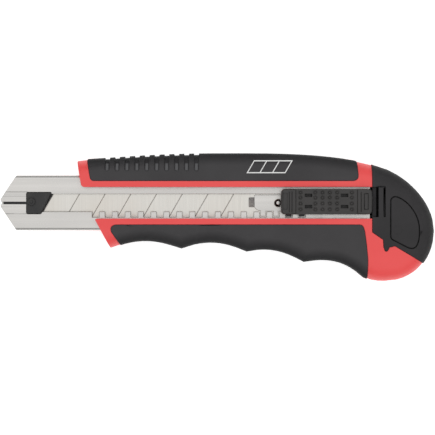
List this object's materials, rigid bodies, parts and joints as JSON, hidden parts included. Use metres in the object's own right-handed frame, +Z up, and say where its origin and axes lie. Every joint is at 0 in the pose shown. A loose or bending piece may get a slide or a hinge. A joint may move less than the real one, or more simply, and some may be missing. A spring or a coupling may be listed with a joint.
{
  "type": "snap off knife",
  "caption": "Snap off utility knife: steel blade channel with ratchet slider, ribbed overmoulded handle with finger grooves and a pull-off rear cap.",
  "frame": {"origin": "centre of the bounding box on the plane the knife lies on, its back face", "axes": "+X from the blade nose to the butt, +Y towards the spine of the handle, +Z up through the slider"},
  "size_m": [0.1686, 0.0496, 0.0194],
  "materials": {
    "red_body": "moulded, satin",
    "grip_rubber": "soft overmould, fine matte",
    "cap_plastic": "moulded, satin black",
    "slider_plastic": "dotted thumb grip",
    "guide_plastic": "glossy black",
    "channel_steel": "rolled sheet, lengthwise brush lines",
    "blade_steel": "ground and oiled",
    "spring_steel": "dull tempered steel"
  },
  "bodies": {
    "handle": {"handle_body": "red_body", "upper_grip": "grip_rubber", "lower_grip": "grip_rubber", "blade_channel": "channel_steel", "nose_guide": "guide_plastic", "spare_blade_stop": "guide_plastic", "magazine_spring": "spring_steel", "channel_screw_front": "spring_steel", "channel_screw_rear": "spring_steel", "spare_blade_1": "blade_steel", "spare_blade_2": "blade_steel", "spare_blade_3": "blade_steel"},
    "slider": {"slider_button": "slider_plastic", "slider_carrier": "channel_steel", "drive_pin": "spring_steel", "ratchet_spring": "guide_plastic"},
    "blade": {"cutting_blade": "blade_steel"},
    "rear_cap": {"rear_cap": "cap_plastic", "cap_thumb_pad": "cap_plastic", "cap_snap_arm": "cap_plastic"}
  },
  "joints": [
    {"name": "slider_slide", "type": "slide", "parent": "handle", "child": "slider", "axis": [-1, 0, 0], "range_m": [0, 0.075], "deforming": ["ratchet_spring"]},
    {"name": "blade_slide", "type": "slide", "parent": "handle", "child": "blade", "axis": [-1, 0, 0], "range_m": [0, 0.075]},
    {"name": "rear_cap_slide", "type": "slide", "parent": "handle", "child": "rear_cap", "axis": [1, 0, 0], "range_m": [0, 0.03], "deforming": ["cap_snap_arm"]}
  ],
  "couplings": [
    {"joint": "blade_slide", "follows": "slider_slide", "ratio": 1}
  ]
}
